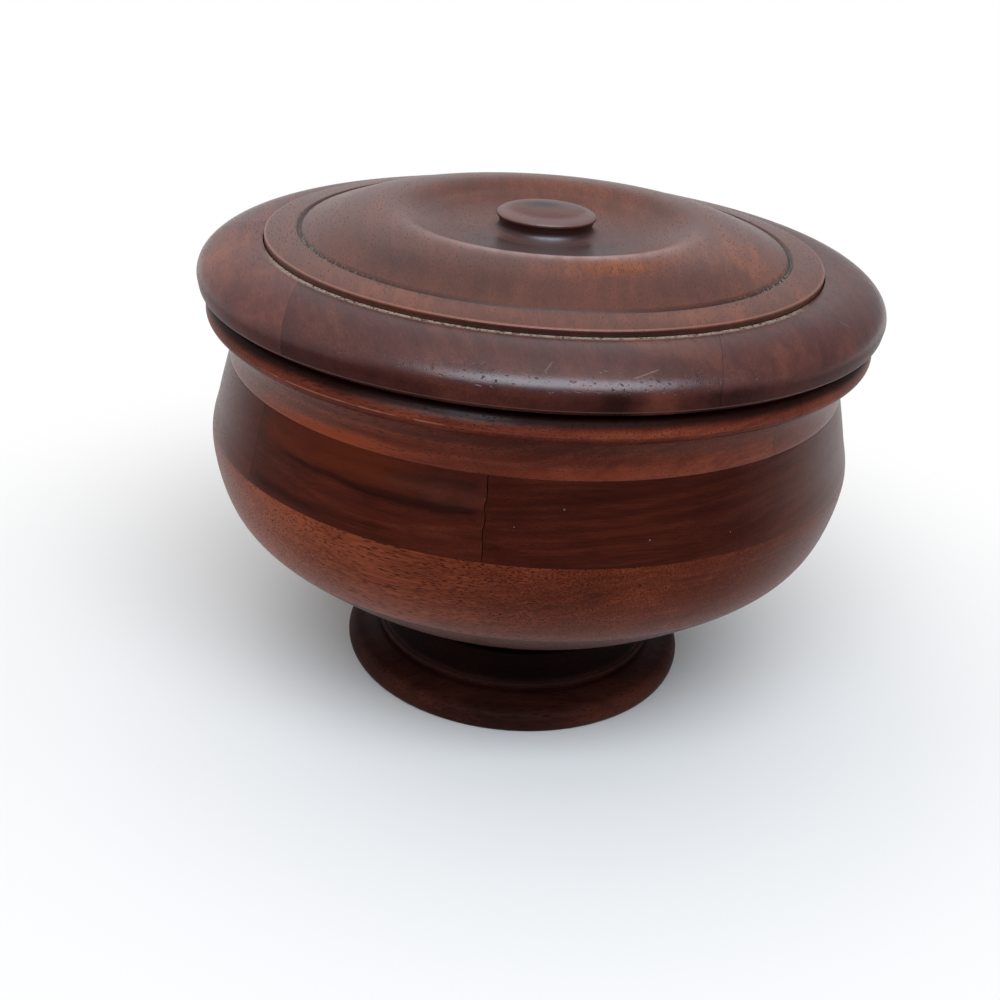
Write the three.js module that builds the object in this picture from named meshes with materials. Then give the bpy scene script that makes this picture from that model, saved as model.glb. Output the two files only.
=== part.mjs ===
// Lidded pedestal bowl, turned from a stack of glued hardwood rings.
// Millimetres, +Z up. The origin is the centre of the foot's sole, and -Y is the front.
import * as THREE from 'three';

// Foot, from the sole up: rolled edge, sloping top, quirk, bead, waist, collar and stem.
const FOOT_HEIGHT = 33;
const SOLE_RADIUS = 68.6;
const SOLE_EDGE_BULGE = 2.1;
const SOLE_EDGE_HEIGHT = 8.4;
const SOLE_TOP_RISE = 2.6;
const QUIRK_WIDTH = 1;
const BEAD_SIZE = 1.4;
const BEAD_OVERHANG = 5.6;
const BEAD_START_ANGLE = -40;
const WAIST_RADIUS = 52.4;
const COLLAR_SIZE = 1.6;
const COLLAR_DROP = 8.4;
const STEM_INSET = 1.4;
const TENON_INSET = 13;
const TENON_HEIGHT = 4;

// Boards of the bowl, bottom to top.
const BOTTOM_DISC_HEIGHT = 37.2;
const LOWER_RING_HEIGHT = 33.9;
const MIDDLE_RING_HEIGHT = 27.6;
const UPPER_RING_HEIGHT = 25.5;

// Outside of the bowl: how far each place lies inside the belly's radius, and its distance
// from the nearest board's edge.
const BELLY_RADIUS = 124.4;
const BELLY_DROP = 5.1;
const BASE_OVERHANG = 2;
const UNDERSIDE_INSET = 42.4;
const UNDERSIDE_RISE = 13.3;
const FLANK_INSET = 17.7;
const FLANK_DROP = 6.3;
const HAUNCH_INSET = 5.4;
const HAUNCH_RISE = 7.3;
const SHOULDER_INSET = 2.8;
const SHOULDER_RISE = 10.4;
const NECK_INSET = 7.2;
const WALL = 10;

// Rim: a shallow cove under a half-round lip, which is flat on top where the lid sits.
const COVE_DEPTH = 0.7;
const LIP_OVERHANG = 8.2;
const LIP_ROUND = 7.4;
const LIP_UPPER_HEIGHT = 7.2;
const LIP_LOWER_HEIGHT = 4.5;

// Lid rim: an ovolo ring that drops into the mouth and carries the panel on a ledge.
const LID_OVERHANG = 2.8;
const LID_UNDERCUT = 3.2;
const LID_WIDEST_RISE = 5.8;
const LID_RIM_HEIGHT = 17.3;
const LID_OVOLO_WIDTH = 20.7;
const LID_RIM_LAND = 3.2;
const SPIGOT_DEPTH = 6;
const SPIGOT_CLEARANCE = 0.5;
const LEDGE_WIDTH = 8;

// Lid panel: a disc with a groove, a low dome and a dished middle under the knob.
const PANEL_PROUD = 2.1;
const PANEL_EDGE_ROUND = 0.6;
const PANEL_SEAT_DEPTH = 6;
const GROOVE_INSET = 12.7;
const GROOVE_WIDTH = 2.6;
const GROOVE_DEPTH = 1.3;
const GROOVE_RISE = 1.7;
const CREST_INSET = 46;
const CREST_RISE = 9.5;
const DISH_RISE = 2.7;

// Knob: a domed button on a short flared stem, with a spigot glued into the panel.
const KNOB_RADIUS = 18.7;
const KNOB_RIM_RISE = 6.3;
const KNOB_DOME = 3.4;
const KNOB_UNDERCUT = 1.2;
const KNOB_FLARE = 4.5;
const KNOB_FLARE_RISE = 2.9;
const KNOB_SPIGOT_RADIUS = 8;
const KNOB_BORE_FLOOR = 3.2;
const FINGER_SPACE = 17.3;

// Glued joints between turned faces, and butt joints between the segments of a ring.
const GLUE_GAP = 0.3;
const BUTT_JOINT = 0.1;

// Segments in each built-up ring, and the azimuth in degrees of one butt joint.
const MIDDLE_SEGMENTS = 8;
const MIDDLE_JOINT_ANGLE = -95.5;
const UPPER_SEGMENTS = 2;
const UPPER_JOINT_ANGLE = -45.8;
const LID_SEGMENTS = 5;
const LID_JOINT_ANGLE = -62.5;

// Facets in a full turn of the bowl, the lid and the knob.
const BOWL_FACETS = 64;
const LID_FACETS = 60;
const KNOB_FACETS = 40;

const FULL_TURN = 2 * Math.PI;
const OUTLINE_SAMPLES = 160;

const discTop = FOOT_HEIGHT + BOTTOM_DISC_HEIGHT;
const lowerRingTop = discTop + LOWER_RING_HEIGHT;
const middleRingTop = lowerRingTop + MIDDLE_RING_HEIGHT;
const rimTop = middleRingTop + UPPER_RING_HEIGHT;
const lidRimTop = rimTop + LID_RIM_HEIGHT;
const panelTop = lidRimTop + PANEL_PROUD;
const panelSeat = lidRimTop - PANEL_SEAT_DEPTH;
const dishFloor = panelTop + DISH_RISE;
const boreFloor = panelSeat + KNOB_BORE_FLOOR;

const stemRadius = WAIST_RADIUS - STEM_INSET;
const tenonRadius = stemRadius - TENON_INSET;
const neckRadius = BELLY_RADIUS - NECK_INSET;
const lipRadius = neckRadius + LIP_OVERHANG;
const lidRadius = lipRadius + LID_OVERHANG;
const lidRimTopRadius = lidRadius - LID_OVOLO_WIDTH;
const rebateRadius = lidRimTopRadius - LID_RIM_LAND;
const panelRadius = rebateRadius - GLUE_GAP;
const ledgeRadius = panelRadius - LEDGE_WIDTH;

const point = (radius, height) => new THREE.Vector2(radius, height);

// Points on an ellipse in the (radius, height) plane, from one angle to another in degrees.
function ellipseArc(centre, radialSize, heightSize, from, to, steps) {
  return Array.from({ length: steps + 1 }, (_, i) => {
    const angle = THREE.MathUtils.degToRad(from + ((to - from) * i) / steps);
    return point(centre.x + radialSize * Math.cos(angle), centre.y + heightSize * Math.sin(angle));
  });
}

// Points of a smooth curve through the given ones.
function smoothCurve(points, steps) {
  return new THREE.SplineCurve(points).getPoints(steps);
}

// Radius of a rising curve of points at a given height.
function radiusAt(curve, height) {
  const above = curve.findIndex((sample) => sample.y >= height);
  if (above === 0) return curve[0].x;
  if (above < 0) return curve[curve.length - 1].x;
  const low = curve[above - 1];
  const high = curve[above];
  return THREE.MathUtils.mapLinear(height, low.y, high.y, low.x, high.x);
}

// The curve between two heights, in even steps.
function stretchOfCurve(curve, from, to, steps) {
  return Array.from({ length: steps + 1 }, (_, i) => {
    const height = from + ((to - from) * i) / steps;
    return point(radiusAt(curve, height), height);
  });
}

// A curve moved to the inside of the wall, square to itself.
function insetCurve(curve, distance) {
  return curve.map((sample, i) => {
    const before = curve[Math.max(i - 1, 0)];
    const after = curve[Math.min(i + 1, curve.length - 1)];
    const along = after.clone().sub(before).normalize();
    return point(sample.x - distance * along.y, sample.y + distance * along.x);
  });
}

const outside = smoothCurve(
  [
    point(stemRadius + BASE_OVERHANG, FOOT_HEIGHT),
    point(BELLY_RADIUS - UNDERSIDE_INSET, FOOT_HEIGHT + UNDERSIDE_RISE),
    point(BELLY_RADIUS - FLANK_INSET, discTop - FLANK_DROP),
    point(BELLY_RADIUS - HAUNCH_INSET, discTop + HAUNCH_RISE),
    point(BELLY_RADIUS, lowerRingTop - BELLY_DROP),
    point(BELLY_RADIUS - SHOULDER_INSET, lowerRingTop + SHOULDER_RISE),
    point(neckRadius, middleRingTop),
  ],
  OUTLINE_SAMPLES,
);
const inside = insetCurve(outside, WALL);
const mouthRadius = radiusAt(inside, middleRingTop);
const bowlFloor = inside[0].y;

// Turns an outline about +Z. The outline runs counter-clockwise with radius to the right and
// height up. It either starts and ends on the axis or closes on itself as a ring. A part turn
// gets a flat face at each end.
function turnedSolid(outline, facets, from = 0, sweep = FULL_TURN) {
  const full = sweep === FULL_TURN;
  const onAxis = outline[0].x === 0;
  const stations = full ? facets : facets + 1;
  const positions = [];
  const faces = [];

  const columns = outline.map((corner) => {
    const distinct = corner.x === 0 ? 1 : stations;
    const first = positions.length / 3;
    for (let i = 0; i < distinct; i += 1) {
      const angle = from + (sweep * i) / facets;
      positions.push(corner.x * Math.cos(angle), corner.x * Math.sin(angle), corner.y);
    }
    return Array.from({ length: stations }, (_, i) => first + (i % distinct));
  });

  const addFace = (a, b, c) => {
    if (a !== b && b !== c && c !== a) faces.push(a, b, c);
  };
  const edges = onAxis ? outline.length - 1 : outline.length;
  for (let j = 0; j < edges; j += 1) {
    const column = columns[j];
    const nextColumn = columns[(j + 1) % outline.length];
    for (let i = 0; i < facets; i += 1) {
      const next = (i + 1) % stations;
      addFace(column[i], column[next], nextColumn[next]);
      addFace(column[i], nextColumn[next], nextColumn[i]);
    }
  }
  if (!full) {
    THREE.ShapeUtils.triangulateShape(outline, []).forEach(([a, b, c]) => {
      addFace(columns[a][0], columns[b][0], columns[c][0]);
      addFace(columns[a][facets], columns[c][facets], columns[b][facets]);
    });
  }

  const geometry = new THREE.BufferGeometry();
  geometry.setAttribute('position', new THREE.Float32BufferAttribute(positions, 3));
  geometry.setIndex(faces);
  geometry.computeVertexNormals();
  return geometry;
}

function namedMesh(name, geometry, material) {
  const mesh = new THREE.Mesh(geometry, material);
  mesh.name = name;
  return mesh;
}

// Segments of a built-up ring. Each is shortened at both ends by half of a butt joint.
function ringSegments(outline, name, count, facets, jointAngle, material) {
  const middleOfWall = outline.reduce((sum, corner) => sum + corner.x, 0) / outline.length;
  const jointSweep = BUTT_JOINT / middleOfWall;
  const sweep = FULL_TURN / count;
  const steps = Math.round(facets / count);
  return Array.from({ length: count }, (_, i) => {
    const start = THREE.MathUtils.degToRad(jointAngle) + i * sweep + jointSweep / 2;
    const geometry = turnedSolid(outline, steps, start, sweep - jointSweep);
    return namedMesh(`${name}_${i + 1}`, geometry, material);
  });
}

function wood(color, roughness) {
  return new THREE.MeshStandardMaterial({ color, roughness, metalness: 0 });
}

function foot() {
  const edgeMiddle = SOLE_EDGE_HEIGHT / 2;
  const quirk = point(WAIST_RADIUS + BEAD_OVERHANG + QUIRK_WIDTH, SOLE_EDGE_HEIGHT + SOLE_TOP_RISE);
  const slope = point((SOLE_RADIUS + quirk.x) / 2, SOLE_EDGE_HEIGHT + SOLE_TOP_RISE / 3);
  const beadCentre = point(WAIST_RADIUS + BEAD_OVERHANG - BEAD_SIZE, quirk.y + BEAD_SIZE);
  const beadTop = beadCentre.y + BEAD_SIZE;
  const collarMiddle = FOOT_HEIGHT - COLLAR_DROP;
  const collarBottom = collarMiddle - COLLAR_SIZE;
  const waist = point((beadCentre.x + 3 * WAIST_RADIUS) / 4, (beadTop + collarBottom) / 2);
  const tenonTop = FOOT_HEIGHT + TENON_HEIGHT;
  const outline = [
    point(0, 0),
    ...ellipseArc(point(SOLE_RADIUS, edgeMiddle), SOLE_EDGE_BULGE, edgeMiddle, -90, 90, 5),
    slope,
    quirk,
    ...ellipseArc(beadCentre, BEAD_SIZE, BEAD_SIZE, BEAD_START_ANGLE, 90, 3),
    waist,
    ...ellipseArc(point(WAIST_RADIUS, collarMiddle), COLLAR_SIZE, COLLAR_SIZE, -90, 90, 4),
    point(stemRadius, collarMiddle + 2 * COLLAR_SIZE),
    point(stemRadius, FOOT_HEIGHT),
    point(tenonRadius, FOOT_HEIGHT),
    point(tenonRadius, tenonTop),
    point(0, tenonTop),
  ];
  return namedMesh('foot', turnedSolid(outline, BOWL_FACETS), wood(0x3f2220, 0.4));
}

function bottomDisc() {
  const recessRadius = tenonRadius + GLUE_GAP;
  const recessTop = FOOT_HEIGHT + TENON_HEIGHT + GLUE_GAP;
  const outline = [
    point(0, recessTop),
    point(recessRadius, recessTop),
    point(recessRadius, FOOT_HEIGHT),
    ...stretchOfCurve(outside, FOOT_HEIGHT, discTop, 7),
    ...stretchOfCurve(inside, discTop, bowlFloor, 5),
    point(0, bowlFloor),
  ];
  return namedMesh('bottom_disc', turnedSolid(outline, BOWL_FACETS), wood(0x6e3a2c, 0.38));
}

function wallOutline(bottom, top, steps) {
  return [...stretchOfCurve(outside, bottom, top, steps), ...stretchOfCurve(inside, top, bottom, steps)];
}

function lowerRing() {
  const outline = wallOutline(discTop, lowerRingTop, 5);
  return namedMesh('lower_ring', turnedSolid(outline, BOWL_FACETS), wood(0x7a3b26, 0.38));
}

function middleRing() {
  const outline = wallOutline(lowerRingTop, middleRingTop, 4);
  const material = wood(0x572a22, 0.34);
  const name = 'middle_ring_segment';
  return ringSegments(outline, name, MIDDLE_SEGMENTS, BOWL_FACETS, MIDDLE_JOINT_ANGLE, material);
}

function upperRing() {
  const lipMiddle = rimTop - LIP_UPPER_HEIGHT;
  const lipBottom = lipMiddle - LIP_LOWER_HEIGHT;
  const seatRadius = lipRadius - LIP_ROUND;
  const outline = [
    point(neckRadius, middleRingTop),
    point(neckRadius - COVE_DEPTH, (middleRingTop + lipBottom) / 2),
    ...ellipseArc(point(neckRadius, lipMiddle), LIP_OVERHANG, LIP_LOWER_HEIGHT, -90, 0, 3),
    ...ellipseArc(point(seatRadius, lipMiddle), LIP_ROUND, LIP_UPPER_HEIGHT, 0, 90, 4).slice(1),
    point(mouthRadius, rimTop),
    point(mouthRadius, middleRingTop),
  ];
  const material = wood(0x73392b, 0.36);
  const name = 'upper_ring_segment';
  return ringSegments(outline, name, UPPER_SEGMENTS, BOWL_FACETS, UPPER_JOINT_ANGLE, material);
}

function lidRim() {
  const mouthFlats = mouthRadius * Math.cos(Math.PI / BOWL_FACETS);
  const spigotRadius = mouthFlats - SPIGOT_CLEARANCE;
  const spigotBottom = rimTop - SPIGOT_DEPTH;
  const widest = rimTop + LID_WIDEST_RISE;
  const outline = [
    point(ledgeRadius, spigotBottom),
    point(spigotRadius, spigotBottom),
    point(spigotRadius, rimTop),
    point(lidRadius - LID_UNDERCUT, rimTop),
    point(lidRadius - LID_UNDERCUT / 5, rimTop + LID_WIDEST_RISE / 3),
    ...ellipseArc(point(lidRimTopRadius, widest), LID_OVOLO_WIDTH, lidRimTop - widest, 0, 90, 7),
    point(rebateRadius, lidRimTop),
    point(rebateRadius, panelSeat),
    point(ledgeRadius, panelSeat),
  ];
  const material = wood(0x55302a, 0.36);
  return ringSegments(outline, 'lid_rim_segment', LID_SEGMENTS, LID_FACETS, LID_JOINT_ANGLE, material);
}

function lidPanel() {
  const boreRadius = KNOB_SPIGOT_RADIUS + GLUE_GAP;
  const groove = point(panelRadius - GROOVE_INSET, panelTop + GROOVE_RISE);
  const grooveInnerEdge = point(groove.x - GROOVE_WIDTH / 2, groove.y + GROOVE_DEPTH / 4);
  const crest = point(panelRadius - CREST_INSET, panelTop + CREST_RISE);
  const dishEdge = point(KNOB_RADIUS + FINGER_SPACE, dishFloor);
  const domeSide = point((grooveInnerEdge.x + crest.x) / 2, (grooveInnerEdge.y + 3 * crest.y) / 4);
  const dishSide = point((crest.x + dishEdge.x) / 2, (crest.y + dishEdge.y) / 2);
  const outline = [
    point(0, panelSeat),
    point(panelRadius, panelSeat),
    point(panelRadius, panelTop - PANEL_EDGE_ROUND),
    point(panelRadius - PANEL_EDGE_ROUND, panelTop),
    point(groove.x + GROOVE_WIDTH / 2, groove.y),
    point(groove.x, groove.y - GROOVE_DEPTH),
    ...smoothCurve([grooveInnerEdge, domeSide, crest, dishSide, dishEdge], 12),
    point(boreRadius, dishFloor),
    point(boreRadius, boreFloor),
    point(0, boreFloor),
  ];
  const facetStart = THREE.MathUtils.degToRad(LID_JOINT_ANGLE);
  return namedMesh('lid_panel', turnedSolid(outline, LID_FACETS, facetStart), wood(0x623329, 0.38));
}

function lidKnob() {
  const rimHeight = dishFloor + KNOB_RIM_RISE;
  const spigotBottom = boreFloor + GLUE_GAP;
  const stem = KNOB_RADIUS - KNOB_UNDERCUT;
  const outline = [
    point(0, spigotBottom),
    point(KNOB_SPIGOT_RADIUS, spigotBottom),
    point(KNOB_SPIGOT_RADIUS, dishFloor),
    point(stem + KNOB_FLARE, dishFloor),
    point(stem + KNOB_FLARE / 8, dishFloor + KNOB_FLARE_RISE / 2),
    point(stem, dishFloor + KNOB_FLARE_RISE),
    point(KNOB_RADIUS - KNOB_UNDERCUT / 3, rimHeight - KNOB_FLARE_RISE / 4),
    ...ellipseArc(point(0, rimHeight), KNOB_RADIUS, KNOB_DOME, 0, 90, 5).slice(0, -1),
    point(0, rimHeight + KNOB_DOME),
  ];
  return namedMesh('lid_knob', turnedSolid(outline, KNOB_FACETS), wood(0x5e2c25, 0.36));
}

const bowl = new THREE.Group();
bowl.add(foot(), bottomDisc(), lowerRing(), ...middleRing(), ...upperRing());

const lid = new THREE.Group();
lid.add(...lidRim(), lidPanel(), lidKnob());

const pedestalBowl = new THREE.Group();
pedestalBowl.add(bowl, lid);

export default pedestalBowl;
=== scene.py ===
import math
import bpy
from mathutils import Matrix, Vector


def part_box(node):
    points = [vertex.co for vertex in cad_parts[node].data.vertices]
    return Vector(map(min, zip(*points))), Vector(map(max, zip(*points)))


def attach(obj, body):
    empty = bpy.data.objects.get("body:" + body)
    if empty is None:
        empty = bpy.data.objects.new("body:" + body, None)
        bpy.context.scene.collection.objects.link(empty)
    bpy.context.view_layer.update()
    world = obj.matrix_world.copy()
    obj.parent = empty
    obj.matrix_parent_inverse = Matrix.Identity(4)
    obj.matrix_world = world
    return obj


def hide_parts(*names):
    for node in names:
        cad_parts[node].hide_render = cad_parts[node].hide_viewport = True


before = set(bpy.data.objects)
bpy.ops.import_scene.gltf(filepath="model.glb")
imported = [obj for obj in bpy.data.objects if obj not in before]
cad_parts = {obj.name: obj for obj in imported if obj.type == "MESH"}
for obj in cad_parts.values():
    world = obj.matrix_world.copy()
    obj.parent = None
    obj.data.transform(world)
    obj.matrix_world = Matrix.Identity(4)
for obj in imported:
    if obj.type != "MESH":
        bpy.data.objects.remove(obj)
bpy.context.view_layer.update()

from types import SimpleNamespace

import bpy
import numpy as np
from mathutils import Matrix

# What every turning shares: its stations round a full turn, the distance in mm under which two
# points count as one, the radius under which a point lies on the axis, the angle from which an
# edge stays sharp, and its varnish, which hardly shines where it is thin.
TURN_STATIONS = 216
SAME_POINT = 1e-5
ON_AXIS = 1e-6
SHARP_ANGLE = 32
VARNISH_IOR = 1.5
DRY_SHINE = 0.035

# The foot: one block of dark red-brown hardwood, turned with its grain lying flat. It has a
# rolled edge, a sloping top with a quirk and a bead, a narrow waist and a small collar, and its
# tenon is glued into the bottom board of the bowl.
SOLE_RADIUS = 68.6
SOLE_EDGE_BULGE = 2.1
SOLE_EDGE_MIDDLE = 4.2
ROLL_CENTRE = (65.6, SOLE_EDGE_MIDDLE)
ROLL_UP = 4.9
ROLL_END = 78
SLOPE = (63.2, 9.7)
QUIRK = (59.0, 11.0)
BEAD_CENTRE = (56.6, 12.4)
BEAD_RADIUS = 1.4
BEAD_SPAN = (-58, 96)
BEAD_FOOT = (56.1, 13.9)
WAIST = (53.45, 18.4)
COLLAR_CENTRE = (52.4, 24.6)
COLLAR_RADIUS = 1.6
COLLAR_SPAN = (-80, 90)
COLLAR_FILLET = [(52.2, 26.25), (51.3, 27.3)]
STEM_RADIUS = 51.0
STEM_START = 29.0
TENON_RADIUS = 38.0
TENON_CHAMFER = 0.6


def arc(centre, across, up, start, end, steps):
    """Points of an ellipse: centre + (across cos t, up sin t), t from start to end in degrees."""
    t = np.radians(np.linspace(start, end, steps + 1))
    return np.column_stack([centre[0] + across * np.cos(t), centre[1] + up * np.sin(t)])


def flowing(corners, steps):
    """A smooth curve through the corners, steps points to a span.

    Between corners p1 and p2, with p0 before and p3 after, the point at t is
    (2 p1 - 2 p2 + v0 + v1) t^3 + (3 p2 - 3 p1 - 2 v0 - v1) t^2 + v0 t + p1,
    where v0 = (p2 - p0) / 2 and v1 = (p3 - p1) / 2. An end corner counts twice.
    """
    p = np.asarray(corners, dtype=float)
    p = np.vstack([p[:1], p, p[-1:]])
    where = np.linspace(0, len(corners) - 1, steps * (len(corners) - 1) + 1)
    span = np.minimum(where.astype(int), len(corners) - 2)
    t = (where - span)[:, None]
    p0, p1, p2, p3 = (p[span + k] for k in range(4))
    v0 = (p2 - p0) / 2
    v1 = (p3 - p1) / 2
    return (2 * p1 - 2 * p2 + v0 + v1) * t**3 + (3 * p2 - 3 * p1 - 2 * v0 - v1) * t**2 + v0 * t + p1


def eased(before, corner, after, cut, steps=5):
    """A corner with its arris taken off: the curve (1-t)^2 s + 2 t (1-t) corner + t^2 e, where
    s and e lie cut mm from the corner, towards the points before and after it."""
    before, corner, after = (np.asarray(v, dtype=float) for v in (before, corner, after))
    s = corner + (before - corner) * cut / np.linalg.norm(before - corner)
    e = corner + (after - corner) * cut / np.linalg.norm(after - corner)
    t = np.linspace(0, 1, steps + 1)[:, None]
    return (1 - t)**2 * s + 2 * t * (1 - t) * corner + t**2 * e


def turned(name, outline, start=0.0, sweep=360.0, stations=TURN_STATIONS, first=0.0, last=0.0):
    """Carries an outline of (radius, height) points, in mm, round the upright axis.

    The outline runs anticlockwise. Point i at station j lies at the angle
    start + sweep u + first_i (1 - u)^6 + last_i u^6, with u = j / stations, in degrees, and at
    (r_i cos a, r_i sin a, h_i). A full turn closes on itself, and a part turn gets an end face
    at each end. A repeated point is left out, and one of radius 0 is a single vertex on the axis.
    """
    outline = np.asarray(outline, dtype=float)
    keep = np.linalg.norm(np.diff(outline, axis=0, prepend=outline[:1] - 1), axis=1) > SAME_POINT
    outline = outline[keep]
    on_axis = outline[:, 0] < ON_AXIS
    is_ring = not on_axis.any()
    skin = outline[~on_axis]
    full = sweep >= 360
    u = np.arange(stations if full else stations + 1)[None, :] / stations
    shift = [np.broadcast_to(np.asarray(s, dtype=float), (len(keep),))[keep][~on_axis][:, None]
             for s in (first, last)]
    angle = np.radians(start + sweep * u + shift[0] * (1 - u)**6 + shift[1] * u**6)
    radius = skin[:, :1]
    height = np.broadcast_to(skin[:, 1:], angle.shape)
    points = np.stack([radius * np.cos(angle), radius * np.sin(angle), height], axis=-1)
    index = np.arange(angle.size).reshape(angle.shape)
    rows = np.vstack([index, index[:1]]) if is_ring else index
    grid = np.hstack([rows, rows[:, :1]]) if full else rows
    quads = np.stack([grid[:-1, :-1], grid[:-1, 1:], grid[1:, 1:], grid[1:, :-1]], axis=-1)
    faces = quads.reshape(-1, 4).tolist()
    points = points.reshape(-1, 3)
    if not is_ring:
        low = len(points)
        poles = np.column_stack([np.zeros((2, 2)), outline[on_axis][[0, -1], 1]])
        points = np.vstack([points, poles])
        bottom = grid[0]
        top = grid[-1]
        ones = np.ones(len(bottom) - 1, dtype=int)
        faces += np.column_stack([low * ones, bottom[1:], bottom[:-1]]).tolist()
        faces += np.column_stack([top[:-1], top[1:], (low + 1) * ones]).tolist()
    if not full:
        faces += [index[:, 0].tolist(), index[::-1, -1].tolist()]
    mesh = bpy.data.meshes.new(name)
    mesh.from_pydata((points * 0.001).tolist(), [], faces)
    mesh.shade_smooth()
    mesh.set_sharp_from_angle(angle=math.radians(SHARP_ANGLE))
    piece = bpy.data.objects.new(name, mesh)
    bpy.context.collection.objects.link(piece)
    return piece


class Shade:
    """A value that changes over a surface: a node's output, whose sums are Math nodes."""

    def __init__(self, tree, socket=None):
        self.tree = tree
        self.socket = socket

    def node(self, kind, settings=(), sockets=(), output=0):
        """Adds a node: first its settings, then a value or a link for each of its sockets."""
        made = self.tree.nodes.new(kind)
        for key, value in dict(settings).items():
            if key == "stops":
                made.color_ramp.elements[1].position = value[-1][0]
                for place, _ in value[1:-1]:
                    made.color_ramp.elements.new(place)
                for stop, (place, colour) in zip(made.color_ramp.elements, value):
                    stop.position = place
                    stop.color = (*colour, 1)
            else:
                setattr(made, key, value)
        for key, value in dict(sockets).items():
            if isinstance(value, Shade):
                self.tree.links.new(value.socket, made.inputs[key])
            else:
                made.inputs[key].default_value = value
        return Shade(self.tree, made.outputs[output] if len(made.outputs) else None)

    def math(self, operation, *terms):
        return self.node("ShaderNodeMath", {"operation": operation}, dict(enumerate(terms)))

    def __add__(self, other):
        return self.math("ADD", self, other)

    __radd__ = __add__

    def __sub__(self, other):
        return self.math("SUBTRACT", self, other)

    def __rsub__(self, other):
        return self.math("SUBTRACT", other, self)

    def __mul__(self, other):
        return self.math("MULTIPLY", self, other)

    __rmul__ = __mul__

    def __truediv__(self, other):
        return self.math("DIVIDE", self, other)

    def __pow__(self, other):
        return self.math("POWER", self, other)

    def __neg__(self):
        return self.math("MULTIPLY", self, -1.0)

    def held(self):
        """The value, held between 0 and 1."""
        return self.node("ShaderNodeClamp", {}, {0: self})

    def rise(self, low, high):
        """0 up to low, 1 from high on, and a smooth step between them."""
        return self.node("ShaderNodeMapRange", {"interpolation_type": "SMOOTHSTEP"},
                         {0: self, 1: low, 2: high, 3: 0.0, 4: 1.0})

    def between(self, low, full, last, high):
        """1 from full to last, 0 up to low and from high on, and smooth steps between them."""
        return self.rise(low, full) * (1 - self.rise(last, high))

    def bell(self, centre, spread):
        """exp(-((value - centre) / spread)^2)."""
        offset = (self - centre) * (1 / spread)
        return self.math("EXPONENT", -(offset * offset))

    def tint(self, under, over):
        """The colour under, going to the colour over as this value goes from 0 to 1."""
        return self.node("ShaderNodeMix", {"data_type": "RGBA"}, {0: self, 6: under, 7: over}, 2)


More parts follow.
